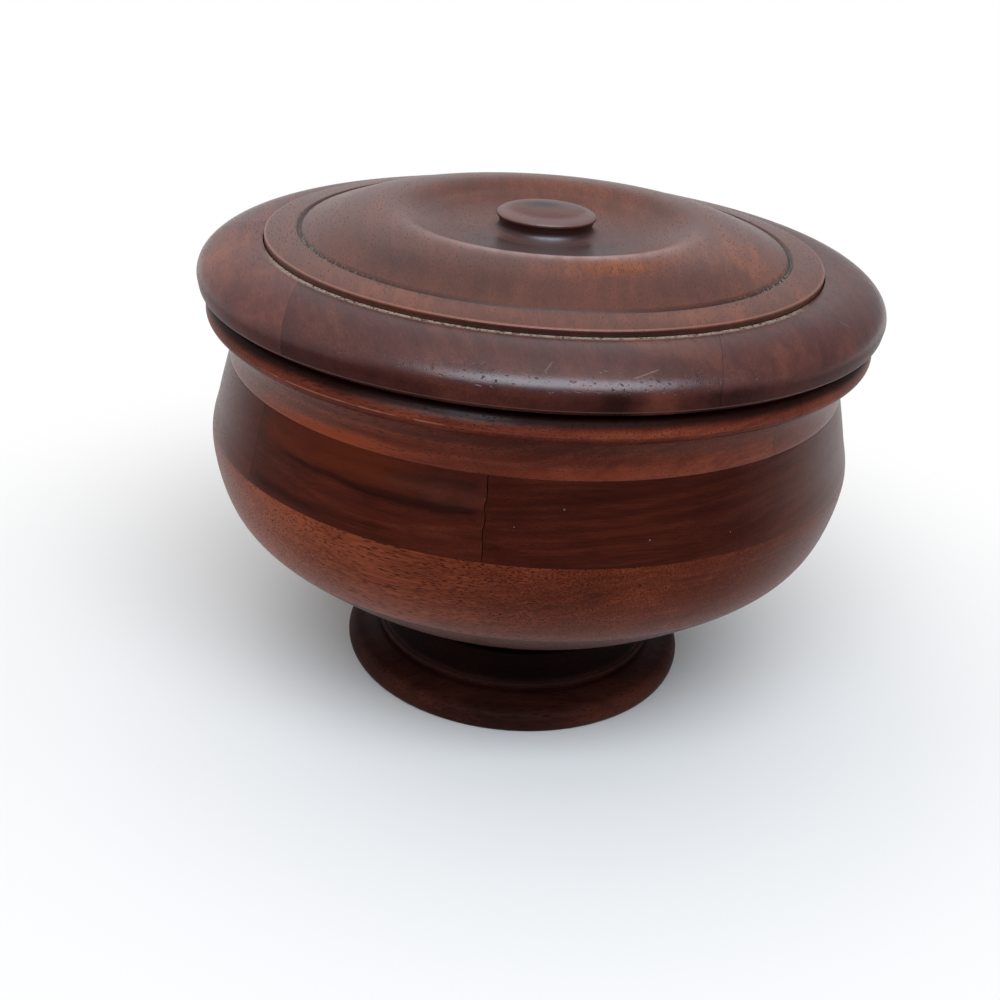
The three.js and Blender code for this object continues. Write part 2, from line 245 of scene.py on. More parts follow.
def varnished_wood(name, fibre, tones, heart=(0.0, -70.0), ring_width=2.6, seed=0.0,
                   bands=0.6, fibres=0.5, streaks=0.6, clouds=0.7, pore_length=8.0, pore_gap=0.95,
                   pore_size=0.22, pore_depth=0.05, pore_dark=0.7, pore_tone=0.35,
                   roughness=0.36, specular=0.5, wave=0.012, figure=None, touches=None, bare=None):
    """A board or block of open-pored hardwood under a thin satin varnish.

    fibre is the direction of its grain in plan, in degrees from +X. The growth rings are
    cylinders along the fibre whose heart lies (across, below) the piece, in mm, and the pores
    are thin ellipsoids along the fibre, so they show as dashes on a face that follows the grain
    and as dots on one that cuts it. tones are the wood's colours from dark to light, and the
    tone is 0.5 plus rings, fibres, streaks and clouds, each a noise less 0.5 times its weight.
    figure and touches add what this piece alone has: a shift of tone, and masks with their
    colours, a change of roughness and a height in mm. bare is a mask of where the varnish is
    thin and the wood hardly shines. A mask reads x, y, height and radius in mm, and azimuth in
    degrees, which is 0 at the front and grows to the right.
    """
    material = bpy.data.materials.new(name)
    material.use_nodes = True
    tree = material.node_tree
    tree.nodes.clear()
    start = Shade(tree)
    raw = start.node("ShaderNodeTexCoord", {}, {}, "Object")
    place = start.node("ShaderNodeMapping", {}, {"Vector": raw, "Scale": (1000, 1000, 1000)})
    board = start.node("ShaderNodeMapping", {}, {
        "Vector": place, "Rotation": (0, 0, -math.radians(fibre)), "Location": (seed * 37.0, 0, 0)})

    def parts(vector):
        """The three coordinates of a point, each as a value."""
        split = start.node("ShaderNodeSeparateXYZ", {}, {0: vector})
        return [Shade(tree, split.socket.node.outputs[k]) for k in range(3)]

    def spread(along, across, detail=2.0, rough=0.5, vector=board):
        """Noise in patches about as long and as wide as given in mm, along the fibre."""
        scaled = start.node("ShaderNodeVectorMath", {"operation": "MULTIPLY"},
                            {0: vector, 1: (1 / along, 1 / across, 1 / across)})
        return start.node("ShaderNodeTexNoise", {"noise_dimensions": "3D"}, {
            "Vector": scaled, "Scale": 1.0, "Detail": detail, "Roughness": rough})

    x, y, height = parts(place)
    across, up = parts(board)[1:]
    radius = (x * x + y * y) ** 0.5
    azimuth = start.math("ARCTAN2", y, x) * (180 / math.pi) + 90.0
    warp = spread(70.0, 24.0, 1.0)
    side = across - heart[0]
    depth = up - heart[1]
    distance = (side * side + depth * depth) ** 0.5 + 14.0 * warp
    ring = start.node("ShaderNodeTexNoise", {"noise_dimensions": "1D"}, {
        "W": distance * (1 / ring_width) + seed * 11.0, "Scale": 1.0, "Detail": 3.0,
        "Roughness": 0.65})
    fine = spread(34.0, 0.55, 2.0, 0.6)
    broad = spread(80.0, 4.2, 3.0, 0.6)
    cloud = spread(26.0, 17.0, 2.0)
    tone = (0.5 + bands * (ring - 0.5) + fibres * (fine - 0.5)
            + streaks * (broad - 0.5) + clouds * (cloud - 0.5))

    def turning(pitch):
        """Fine lines that follow the turning, pitch mm apart: noise of azimuth and height."""
        flat = start.node("ShaderNodeCombineXYZ", {}, {0: azimuth * 0.02, 1: height * (1 / pitch)})
        return start.node("ShaderNodeTexNoise", {"noise_dimensions": "2D"}, {
            "Vector": flat, "Scale": 1.0, "Detail": 2.0, "Roughness": 0.6}) - 0.5

    spot = SimpleNamespace(x=x, y=y, height=height, radius=radius, azimuth=azimuth,
                           spread=spread, place=place, turning=turning, node=start.node)
    if figure:
        tone = tone + figure(spot)
    stops = np.linspace(0.0, 1.0, len(tones))
    colour = start.node("ShaderNodeValToRGB", {"stops": list(zip(stops, tones))}, {0: tone.held()})

    cells = start.node("ShaderNodeVectorMath", {"operation": "MULTIPLY"}, {
        0: board, 1: (1 / pore_length, 1 / pore_gap, 1 / pore_gap)})
    core = start.node("ShaderNodeTexVoronoi", {"feature": "F1"}, {
        "Vector": cells, "Scale": 1.0, "Randomness": 1.0})
    pore = 1 - (core - 0.25 * (broad - 0.5) - 0.3 * (ring - 0.5)).rise(
        pore_size * 0.6, pore_size * 1.5)
    colour = (pore * pore_dark).tint(colour, (*(pore_tone * c for c in tones[0]), 1))
    relief = fibres * 0.006 * fine - pore_depth * pore + wave * spread(9.0, 6.0, 1.0)
    rough = roughness + 0.10 * (cloud - 0.5) + 0.12 * (fine - 0.5) + 0.2 * pore
    if touches:
        for mask, paint, dull, raised in touches(spot):
            colour = mask.tint(colour, (*paint, 1))
            rough = rough + dull * mask
            relief = relief + raised * mask
    bump = start.node("ShaderNodeBump", {}, {"Strength": 1.0, "Distance": 0.001, "Height": relief})
    shader = start.node("ShaderNodeBsdfPrincipled", {}, {
        "Base Color": colour, "Roughness": rough, "Normal": bump, "IOR": VARNISH_IOR,
        "Specular IOR Level": specular})
    if bare:
        dry = start.node("ShaderNodeBsdfPrincipled", {}, {
            "Base Color": colour, "Roughness": rough, "Normal": bump, "IOR": VARNISH_IOR,
            "Specular IOR Level": DRY_SHINE})
        shader = start.node("ShaderNodeMixShader", {}, {0: bare(spot), 1: shader, 2: dry})
    start.node("ShaderNodeOutputMaterial", {}, {"Surface": shader})
    return material


def finish_piece(piece, material, body, slot, *nodes):
    """Gives a piece its wood and its body, and hides the CAD nodes that it stands for; slot is not
    used.
    """
    piece.data.materials.append(material)
    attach(piece, body)
    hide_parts(*nodes)


def mm(node, corner):
    """Height of the lowest (0) or highest (1) point of a CAD node, in mm."""
    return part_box(node)[corner][2] * 1000


tenon_top = mm("foot", 1)
board_bottom = mm("bottom_disc", 0)
roll_across = SOLE_RADIUS + SOLE_EDGE_BULGE - ROLL_CENTRE[0]
rolled_edge = arc(ROLL_CENTRE, roll_across, ROLL_UP, 0, ROLL_END, 18)
collar_bottom = (COLLAR_CENTRE[0], COLLAR_CENTRE[1] - COLLAR_RADIUS)
foot_outline = np.vstack([
    [(0.0, 0.0)],
    arc((SOLE_RADIUS, SOLE_EDGE_MIDDLE), SOLE_EDGE_BULGE, SOLE_EDGE_MIDDLE, -90, 0, 14),
    rolled_edge[1:],
    flowing([rolled_edge[-1], SLOPE, QUIRK], 8)[1:],
    arc(BEAD_CENTRE, BEAD_RADIUS, BEAD_RADIUS, *BEAD_SPAN, 14),
    flowing([BEAD_FOOT, WAIST, collar_bottom], 9)[1:],
    arc(COLLAR_CENTRE, COLLAR_RADIUS, COLLAR_RADIUS, *COLLAR_SPAN, 14),
    flowing([*COLLAR_FILLET, (STEM_RADIUS, STEM_START)], 4),
    [(STEM_RADIUS, board_bottom), (TENON_RADIUS, board_bottom),
     (TENON_RADIUS, tenon_top - TENON_CHAMFER), (TENON_RADIUS - TENON_CHAMFER, tenon_top),
     (0.0, tenon_top)],
])
foot = turned("foot_turning", foot_outline)


def foot_figure(spot):
    """The rolled edge is more orange to the right and left of the front and darker between, and
    the waist is dark: painted shade under the bowl."""
    edge = spot.azimuth.bell(42.0, 26.0) + 0.5 * spot.azimuth.bell(-38.0, 16.0)
    front = spot.azimuth.bell(-2.0, 24.0)
    return ((0.5 * edge - 0.3 * front) * (1 - spot.height.rise(7.5, 10.5))
            - 0.4 * spot.height.rise(13.6, 15.0))


def foot_touches(spot):
    """A paler line along the bead as a painted highlight, a darker quirk below it, and the waist
    painted dark as painted shade under the bowl.
    """
    # line: a painted highlight along the bead.
    line = spot.height.bell(13.55, 0.42) * (1 - spot.radius.rise(57.3, 57.9))
    quirk_darkening = spot.radius.bell(58.7, 0.7)
    # waist: painted shade, where the bowl's shadow falls on the foot.
    waist = spot.height.rise(14.2, 15.4)
    return [(waist * 0.7, (0.0100, 0.0036, 0.0028), 0.25, 0.0),
            (quirk_darkening * 0.5, (0.006, 0.003, 0.0025), 0.0, 0.0),
            (line * 0.6, (0.072, 0.040, 0.034), 0.0, 0.0)]


def foot_bare(spot):
    """The foot was rubbed dull, but for a little shine left on the sloping top."""
    return 1 - 0.12 * spot.height.rise(9.0, 9.8) * (1 - spot.height.rise(11.0, 12.0))


foot_wood = varnished_wood(
    "foot_varnished_hardwood", fibre=8.0, heart=(30.0, -120.0), seed=1.0, ring_width=3.2,
    tones=[(0.014, 0.0042, 0.0030), (0.040, 0.0110, 0.0075), (0.080, 0.022, 0.013)],
    roughness=0.40, specular=0.3, figure=foot_figure, touches=foot_touches, bare=foot_bare)
finish_piece(foot, foot_wood, "bowl", "foot_wood", "foot")

# The bottom board of the bowl: a thick disc of red-brown hardwood, hollowed above into the
# bowl's floor and recessed below for the foot's tenon. The belly's underside is turned on it.
BELLY_CURVE = [(53.0, 33.0), (82.0, 46.3), (106.7, 63.9), (119.0, 77.5), (124.4, 99.0),
               (121.6, 114.5), (117.2, 131.7)]
WALL = 10.0
RECESS_CLEARANCE = 0.3
JOINT_ARRIS = 0.06
DISC_STEPS = 40
GLUE_LINE = 70.0

outside = flowing(BELLY_CURVE, 40)
tangent = np.gradient(outside, axis=0)
normal = np.column_stack([tangent[:, 1], -tangent[:, 0]])
inside = outside - WALL * normal / np.linalg.norm(normal, axis=1)[:, None]
bowl_floor = inside[0, 1]


def wall_points(curve, low, high, steps):
    """The stretch of a rising curve between two heights: its radius at even steps of height."""
    heights = np.linspace(low, high, steps + 1)
    return np.column_stack([np.interp(heights, curve[:, 1], curve[:, 0]), heights])


def wall_ring(low, high, steps):
    """Outline of one ring of the wall: out along its lower joint, up the outside, in along the
    upper joint and down the inside, with the outer corners a hair's breadth off."""
    outer = wall_points(outside, low, high, steps)
    inner = wall_points(inside, low, high, steps)[::-1]
    foot_corner = eased(inner[-1], outer[0], outer[1], JOINT_ARRIS, 2)
    top_corner = eased(outer[-2], outer[-1], inner[0], JOINT_ARRIS, 2)
    return np.vstack([foot_corner, outer[1:-1], top_corner, inner])


disc_top = mm("bottom_disc", 1)
disc_ring = wall_ring(board_bottom, disc_top, DISC_STEPS)
# The inner side comes last in the ring's outline, falling, and is cut off at the floor.
inner_start = len(disc_ring) - DISC_STEPS - 1
floor_start = inner_start + np.searchsorted(-disc_ring[inner_start:, 1], -bowl_floor)
recess = TENON_RADIUS + RECESS_CLEARANCE
recess_top = tenon_top + RECESS_CLEARANCE
disc_outline = np.vstack([
    [(0.0, recess_top), (recess, recess_top), (recess, board_bottom)],
    disc_ring[:floor_start],
    [inside[0], (0.0, bowl_floor)],
])
bottom_board = turned("bottom_board", disc_outline)


def bottom_painted_shade(spot):
    """The board darkens towards the foot: painted shade on the belly's underside."""
    return -0.75 * (1 - spot.height.rise(40.0, 60.0))


def bottom_touches(spot):
    """Dark glue along the left of the front of its upper joint."""
    open_joint = spot.azimuth.between(-46.0, -36.0, -16.0, -10.0)
    glue = spot.height.bell(GLUE_LINE, 0.32) * open_joint
    return [(glue * 0.85, (0.008, 0.004, 0.003), 0.1, -0.06)]


bottom_wood = varnished_wood(
    "bottom_board_varnished_hardwood", fibre=70.0, heart=(-40.0, -260.0), seed=2.0,
    tones=[(0.025, 0.007, 0.0045), (0.068, 0.019, 0.012), (0.115, 0.033, 0.019)],
    roughness=0.38, specular=0.09, figure=bottom_painted_shade, touches=bottom_touches)
finish_piece(bottom_board, bottom_wood, "bowl", "bottom_disc_wood", "bottom_disc")

# The lower ring: one board of a lighter, orange-brown hardwood with coarse dark pores, glued
# on the bottom board and turned with it into the widest part of the belly.
BELLY_STEPS = 44
BELLY_KNOTS = [(-2.1, 84.4, 0.55), (18.7, 97.2, 0.5), (20.5, 95.1, 0.45)]
lower_top = mm("lower_ring", 1)
belly_ring = turned("belly_ring", wall_ring(disc_top, lower_top, BELLY_STEPS))


def round_spot(spot, azimuth, height, size):
    """A soft round spot of that size in mm at an azimuth in degrees and a height in mm."""
    across = (spot.azimuth - azimuth) * spot.radius * (math.pi / 180)
    level = spot.height - height
    return (1 - (across * across + level * level) ** 0.5 * (1 / size)).rise(0.0, 0.45)


def sum_of(masks):
    """The masks together, held at 1."""
    total = None
    for mask in masks:
        total = mask if total is None else total + mask
    return total.held()


def patch(spot, azimuth, radius, wide, deep):
    """A soft patch about a point of the wood, at an azimuth in degrees and a radius in mm, as
    wide and deep as given in mm: exp(-(across / wide)^2 - (outward / deep)^2)."""
    across = (spot.azimuth - azimuth) * (spot.radius * (math.pi / 180))
    return across.bell(0.0, wide) * spot.radius.bell(radius, deep)


def belly_figure(spot):
    """The board is lighter and more orange towards the left of the front, and fine dark and
    light lines follow it all round towards the right and below."""
    lines = spot.turning(1.1) * (0.30 + 0.70 * spot.azimuth.rise(-20.0, 20.0))
    glow = patch(spot, -40.0, 122.0, 26.0, 7.0) * spot.height.rise(84.0, 98.0)
    below = 1 - spot.height.rise(80.0, 92.0)
    return (0.17 - 0.36 * spot.azimuth.rise(-30.0, 12.0) + 0.42 * lines + 0.25 * glow
            + 0.10 * below)


def belly_touches(spot):
    """A few small dark knots in the varnish, each at (azimuth, height) and of a size in mm."""
    mask = sum_of(round_spot(spot, *knot) for knot in BELLY_KNOTS)
    return [(mask, (0.010, 0.004, 0.003), 0.1, -0.05)]


def rubbed_front(spot):
    """The front was rubbed dull by handling, its lower part less so, and the sides not."""
    front = spot.azimuth.between(-72.0, -26.0, 28.0, 64.0)
    return front * (0.40 + 0.60 * spot.height.rise(77.0, 94.0))


belly_wood = varnished_wood(
    "belly_ring_varnished_hardwood", fibre=-21.0, heart=(35.0, -260.0), seed=3.0,
    tones=[(0.066, 0.0132, 0.0061), (0.148, 0.0300, 0.0130), (0.270, 0.062, 0.0250)],
    ring_width=2.2, fibres=1.1, pore_size=0.26, pore_dark=0.95, pore_gap=0.56, pore_length=4.6,
    pore_tone=0.35, clouds=0.5, roughness=0.36, specular=0.2, figure=belly_figure,
    touches=belly_touches, bare=rubbed_front)
finish_piece(belly_ring, belly_wood, "bowl", "lower_ring_wood", "lower_ring")

# The middle ring: eight blocks of a darker, strongly figured hardwood, butted end to end with
# the grain along each block. The joint at the front has opened into a fine ragged crack, and
# the first two blocks are of one board, so that the closed joint between them doesn't show.
MIDDLE_BLOCKS = 8
MIDDLE_START = -95.5
MIDDLE_STEPS = 36
MIDDLE_STATIONS = 56
JOINT_RADIUS = 120.0
BUTT_GAP = 0.1
CRACK_GAP = 0.18
CRACK_HEIGHTS = [104, 108, 111, 112, 115, 116, 119, 120, 123, 124, 127, 128, 132]
CRACK_STRAY = [0.2, 0.15, 0.12, -0.08, -0.1, 0.12, 0.1, -0.16, -0.14, 0.05, 0.02, -0.1, -0.12]
SPECKS = [(6.3, 122.9, 0.36), (-1.0, 116.5, 0.25), (19.8, 112.6, 0.36), (34.1, 111.0, 0.3)]
MIDDLE_TONES = [(0.022, 0.0044, 0.0027), (0.064, 0.0124, 0.0066), (0.125, 0.0265, 0.0130)]
MIDDLE_SHADES = (-0.24, -0.24, -0.04, 0.06, -0.08, 0.05, 0.20, 0.02)
middle_top = mm("middle_ring_segment_1", 1)
middle_outline = wall_ring(lower_top, middle_top, MIDDLE_STEPS)


def half_angle(gap, radius):
    """Half of the angle that a gap takes up at a radius: gap / (2 radius), turned to degrees."""
    return math.degrees(gap / 2 / radius)


def shaded(tones, shade):
    """The tones, each lighter by the share shade: tone * (1 + shade)."""
    return [tuple(c * (1 + shade) for c in tone) for tone in tones]


def crack_line(height):
    """Angle in degrees by which the front crack strays from its joint, read at each height
    between the stated ones: a slow lean, and a jog either way at each of its splinters."""
    return np.interp(height, CRACK_HEIGHTS, CRACK_STRAY)


def shoulder_rubbed(spot):
    """The front of the ring was rubbed dull, as far round as the seam at its left."""
    return spot.azimuth.between(-70.0, -44.0, 28.0, 64.0)


def streak(spot, start, end, height, lean, bend, width):
    """A dark line in the wood from one azimuth to another: exp(-(d / width)^2), where d is the
    distance from height + lean v + bend v^2, with v from -1 to 1 along it, faded at its ends."""
    v = (spot.azimuth - (start + end) / 2) * (2 / (end - start))
    line = spot.height - height - lean * v - bend * v * v
    wander = spot.spread(16.0, 9.0, 2.0) - 0.5
    fade = (1 - v * v).rise(0.0, 0.6)
    return (line + 2.4 * wander).bell(0.0, width) * fade


def middle_front_left(spot):
    """The block left of the crack: a wavy dark streak along its middle, which is broader near
    the crack, a fainter one low down, one at the top right, and fine lines all over."""
    main = streak(spot, -47.0, -4.0, 119.4, -1.0, 1.4, 1.2)
    heavy = streak(spot, -28.0, -4.5, 119.0, 0.2, 0.0, 2.2)
    low = streak(spot, -52.0, -18.0, 108.0, 0.8, 0.0, 1.6)
    high = streak(spot, -25.0, -5.0, 127.0, 0.4, 0.0, 1.8)
    lines = spot.turning(1.5)
    return 0.35 * lines - 0.6 * main - 0.35 * heavy - 0.3 * low - 0.35 * high


def middle_left_touches(spot):
    """Left of the crack the wood is orange-red near the top, and grey-brown between the dark
    streak and the crack."""
    red = (spot.azimuth.between(-51.0, -46.0, -26.0, -12.0) * spot.height.rise(118.0, 125.0)
           * spot.spread(20.0, 3.0, 2.0).rise(0.1, 0.55))
    grey = (spot.azimuth.bell(-14.0, 9.0) * spot.height.bell(124.0, 4.5)
            * spot.spread(20.0, 4.0, 2.0).rise(0.2, 0.6))
    return [(red * 0.7, (0.110, 0.0190, 0.0072), 0.0, 0.0),
            (grey * 0.36, (0.078, 0.031, 0.022), 0.0, 0.0)]


def middle_front_right(spot):
    """The length right of the crack: faint streaks that cross it slantwise, rising to the
    right, on wood that is paler beyond 45 degrees."""
    slope = spot.height - 0.16 * (spot.azimuth - 20.0)
    slant = spot.node("ShaderNodeCombineXYZ", {}, {0: spot.azimuth * 0.035, 1: slope * 0.42})
    lines = spot.node("ShaderNodeTexNoise", {"noise_dimensions": "2D"}, {
        "Vector": slant, "Scale": 1.0, "Detail": 2.0, "Roughness": 0.55})
    return 0.55 * (lines - 0.5) + 0.32 * spot.azimuth.rise(36.0, 58.0)


def middle_specks(spot):
    """Small pale flecks where the varnish is chipped, each at (azimuth, height) and of a size
    in mm."""
    mask = sum_of(round_spot(spot, *speck) for speck in SPECKS)
    return [(mask * 0.5, (0.34, 0.22, 0.19), 0.2, 0.02)]


sweep = 360 / MIDDLE_BLOCKS
half_gap = half_angle(BUTT_GAP, JOINT_RADIUS)
half_crack = half_angle(CRACK_GAP, JOINT_RADIUS)
stray = crack_line(middle_outline[:, 1])
last_block = MIDDLE_BLOCKS - 1
for number in range(MIDDLE_BLOCKS):
    begin = MIDDLE_START + number * sweep
    block = turned(
        f"shoulder_block_{number + 1}", middle_outline, begin + half_gap, sweep - 2 * half_gap,
        stations=MIDDLE_STATIONS,
        first={0: stray + half_crack, 1: -half_gap}.get(number, 0.0),
        last={0: half_gap, last_block: stray - half_crack}.get(number, 0.0))
    if number != 1:
        wood = varnished_wood(
            f"shoulder_block_{number + 1}_hardwood", fibre=begin + sweep / 2 + 90.0,
            heart=(-30.0 + 9.0 * number, -160.0), seed=10.0 + number, ring_width=3.4,
            tones=shaded(MIDDLE_TONES, MIDDLE_SHADES[number]), roughness=0.34, specular=0.2,
            pore_size=0.19, pore_gap=0.6, pore_length=6.0, pore_dark=0.35,
            streaks=0.45, bands=0.45, fibres=0.4, clouds=0.45, bare=shoulder_rubbed,
            figure={0: middle_front_right, last_block: middle_front_left}.get(number),
            touches={0: middle_specks, last_block: middle_left_touches}.get(number))
    finish_piece(block, wood, "bowl", "middle_ring_wood", f"middle_ring_segment_{number + 1}")

# The upper ring: two half rings of red-brown, open-pored hardwood, glued on the middle ring. It
# is turned into a shallow cove for the neck and a half-round lip that overhangs it.
UPPER_HALVES = 2
UPPER_START = -225.8
UPPER_STATIONS = 120
NECK_RADIUS = 117.2
NECK_ARRIS = 0.12
COVE = (116.5, 138.6)
LIP_BASE = 145.5
LIP_MIDDLE = 150.0
LIP_RADIUS = 125.4
LIP_TOP_RADIUS = 118.0
LIP_MOUTH_ARRIS = 0.8
MOUTH_RADIUS = np.interp(middle_top, inside[:, 1], inside[:, 0])
rim_top = mm("upper_ring_segment_1", 1)
upper_outline = np.vstack([
    eased((MOUTH_RADIUS, middle_top), (NECK_RADIUS, middle_top), (NECK_RADIUS, rim_top),
          NECK_ARRIS, 2),
    flowing([(NECK_RADIUS - 0.05, middle_top + 1.2), COVE,
             (NECK_RADIUS - 0.1, LIP_BASE - 0.5)], 14),
    arc((NECK_RADIUS, LIP_MIDDLE), LIP_RADIUS - NECK_RADIUS, LIP_MIDDLE - LIP_BASE, -86, 0, 18),
    arc((LIP_TOP_RADIUS, LIP_MIDDLE), LIP_RADIUS - LIP_TOP_RADIUS, rim_top - LIP_MIDDLE,
        0, 90, 20)[1:],
    eased((LIP_TOP_RADIUS, rim_top), (MOUTH_RADIUS, rim_top), (MOUTH_RADIUS, middle_top),
          LIP_MOUTH_ARRIS),
    [(MOUTH_RADIUS, middle_top)],
])


def neck_bare(spot):
    """The lip, under the lid, hardly shines but for a stretch left of the front where it was
    polished. The front of the neck shines not much more, least of all just above the joint."""
    gleam = spot.azimuth.between(-29.0, -20.0, -8.0, 0.0)
    lip = spot.height.rise(145.0, 147.0) * (1 - gleam * spot.height.rise(151.2, 152.6))
    front = spot.azimuth.between(-66.0, -24.0, 34.0, 70.0)
    strip = spot.azimuth.bell(-42.0, 15.0) * (spot.height - middle_top).bell(0.0, 2.6)
    return (lip + (1 - lip) * (0.68 * front + 0.4 * strip)).held()


def neck_figure(spot):
    """The front half ring: an orange-red strip just above the joint at the left, which turns
    dark near the crack, another along the lip's widest part, paler wood in the cove to the left
    and right of the front, and fine lines along it."""
    low = (spot.height - middle_top).bell(1.0, 2.2)
    sap = (spot.azimuth.bell(-34.0, 14.0) + 0.5 * spot.azimuth.bell(10.0, 13.0)) * low
    lip = spot.height.bell(150.8, 1.3) * (0.2 + 0.8 * spot.azimuth.bell(15.0, 16.0))
    side = 1.6 * spot.azimuth.bell(-29.0, 13.0) + spot.azimuth.bell(30.0, 18.0)
    under = spot.height.rise(144.5, 146.5)
    cove = spot.turning(2.2) * (1 - under)
    dusk = spot.azimuth.bell(-3.0, 13.0) * (spot.height - middle_top).bell(0.0, 3.0)
    return (0.45 * lip + 0.16 * side * (1 - under) - 0.16 * under + 0.45 * cove + 0.2 * sap
            - 0.42 * dusk)


def neck_touches(spot):
    """Orange-red wood just above the joint, a painted shadow on the lip's top in the gap under the
    lid, with a little painted highlight on it, and a worn line on its edge."""
    # shade: a painted shadow, dark where the lid hides the lip's top from the light.
    shade = spot.height.rise(151.6, 154.0) * spot.radius.rise(117.0, 118.0)
    stretch = spot.azimuth.between(-48.0, -38.0, -15.0, -9.0)
    patchy = spot.spread(6.0, 3.0, 2.0, 0.6).rise(0.30, 0.55)
    worn = spot.height.bell(150.0, 0.20) * (0.25 + stretch) * patchy
    low = (spot.height - middle_top).bell(1.2, 2.4) * spot.spread(9.0, 2.0, 2.0).rise(0.15, 0.45)
    sap = spot.azimuth.bell(-35.0, 13.0) + 0.4 * spot.azimuth.bell(8.0, 14.0)
    # A painted highlight on the lip's top, left of the front.
    painted_lip_gleam = (spot.azimuth.bell(-11.0, 11.0) * spot.height.bell(152.7, 0.7)
            * spot.spread(5.0, 1.2, 2.0, 0.6).rise(0.2, 0.6))
    return [(sap * low * 0.8, (0.30, 0.047, 0.011), 0.0, 0.0),
            (shade * 0.88, (0.014, 0.0050, 0.004), 0.0, 0.0),
            (painted_lip_gleam * 0.22, (0.26, 0.21, 0.205), 0.0, 0.0),
            (worn * 0.6, (0.42, 0.17, 0.10), 0.1, 0.0)]


sweep = 360 / UPPER_HALVES
for number in range(UPPER_HALVES):
    half = turned(
        f"neck_half_{number + 1}", upper_outline, UPPER_START + number * sweep + half_gap,
        sweep - 2 * half_gap, stations=UPPER_STATIONS)
    wood = varnished_wood(
        f"neck_half_{number + 1}_hardwood", fibre=-27.0 + 24.0 * number,
        heart=(48.0, -240.0), seed=30.0 + number, ring_width=2.4,
        tones=[(0.065, 0.0125, 0.007), (0.160, 0.0330, 0.018), (0.280, 0.064, 0.029)],
        pore_size=0.23, pore_gap=0.55, pore_length=4.5, pore_dark=0.8, roughness=0.33,
        specular=0.45, figure=neck_figure if number == 0 else None, touches=neck_touches,
        bare=neck_bare)
    finish_piece(half, wood, "bowl", "upper_ring_wood", f"upper_ring_segment_{2 - number}")

# The lid's rim: five blocks of dark red-brown hardwood butted into a ring and turned to a wide
# quarter-round. Inside it has a rebate for the panel, and under it a spigot for the mouth.
LID_BLOCKS = 5
LID_START = -62.5
LID_STATIONS = 60
LID_JOINT_RADIUS = 125.0
LEFT_JOINT = (-79.5, -44.5)
RIGHT_JOINT = (57.0, 27.5)
LEDGE_RADIUS = 97.0
REBATE_RADIUS = 104.3
SPIGOT_BOTTOM = 151.2
SPIGOT_RADIUS = 106.9
UNDERCUT = (125.0, 157.2)
ARRIS = (127.56, 159.1)
RIM_EDGE = (128.2, 163.0)
OVOLO_CENTRE = (107.5, 163.0)
OVOLO_WIDTH = 20.7
LID_RIM_TOP = 174.5
PANEL_SEAT = 168.5
SCRATCHES = [(1.4, 169.9, 2.6, 172.1, 0.12), (13.5, 169.1, 17.8, 171.0, 0.11),
             (5.1, 166.5, 5.9, 168.4, 0.16), (57.9, 172.9, 58.6, 171.3, 0.12)]
MM_PER_DEGREE = 2.2
LID_TONES = [(0.030, 0.0082, 0.0066), (0.080, 0.0212, 0.0163), (0.175, 0.050, 0.028)]
LID_SHADES = (0.04, 0.05, 0.0, 0.35, -0.05)
lid_outline = np.vstack([
    [(LEDGE_RADIUS, SPIGOT_BOTTOM)],
    eased((LEDGE_RADIUS, SPIGOT_BOTTOM), (SPIGOT_RADIUS, SPIGOT_BOTTOM), (SPIGOT_RADIUS, rim_top),
          0.8, 4),
    [(SPIGOT_RADIUS, rim_top)],
    eased((SPIGOT_RADIUS, rim_top), UNDERCUT, ARRIS, 0.6, 4),
    eased(UNDERCUT, ARRIS, RIM_EDGE, 0.9, 5),
    arc(OVOLO_CENTRE, OVOLO_WIDTH, LID_RIM_TOP - OVOLO_CENTRE[1], 0, 90, 48),
    eased((OVOLO_CENTRE[0], LID_RIM_TOP), (REBATE_RADIUS, LID_RIM_TOP),
          (REBATE_RADIUS, PANEL_SEAT), 0.3, 3),
    [(REBATE_RADIUS, PANEL_SEAT), (LEDGE_RADIUS, PANEL_SEAT)],
])


def straight_joint(side, angle):
    """Shift that carries a joint from a radial angle to the upright plane x = side mm: at
    radius r the joint then lies at arcsin(side / r) from the front, in degrees."""
    return np.degrees(np.arcsin(side / lid_outline[:, 0])) - angle


def scratch(spot, azimuth, height, azimuth_end, height_end, width):
    """A fine straight scratch between two points of the rim, each at an azimuth in degrees and
    a height in mm: exp(-(off / width)^2), where off is the distance from their line in mm,
    faded towards its ends. A degree of azimuth counts as MM_PER_DEGREE."""
    across = (azimuth_end - azimuth) * MM_PER_DEGREE
    rise = height_end - height
    length = math.hypot(across, rise)
    a = (spot.azimuth - (azimuth + azimuth_end) / 2) * MM_PER_DEGREE
    h = spot.height - (height + height_end) / 2
    along = (a * across + h * rise) * (2 / length**2)
    off = (h * across - a * rise) * (1 / length)
    return off.bell(0.0, width) * (1 - along * along).rise(0.0, 0.5)


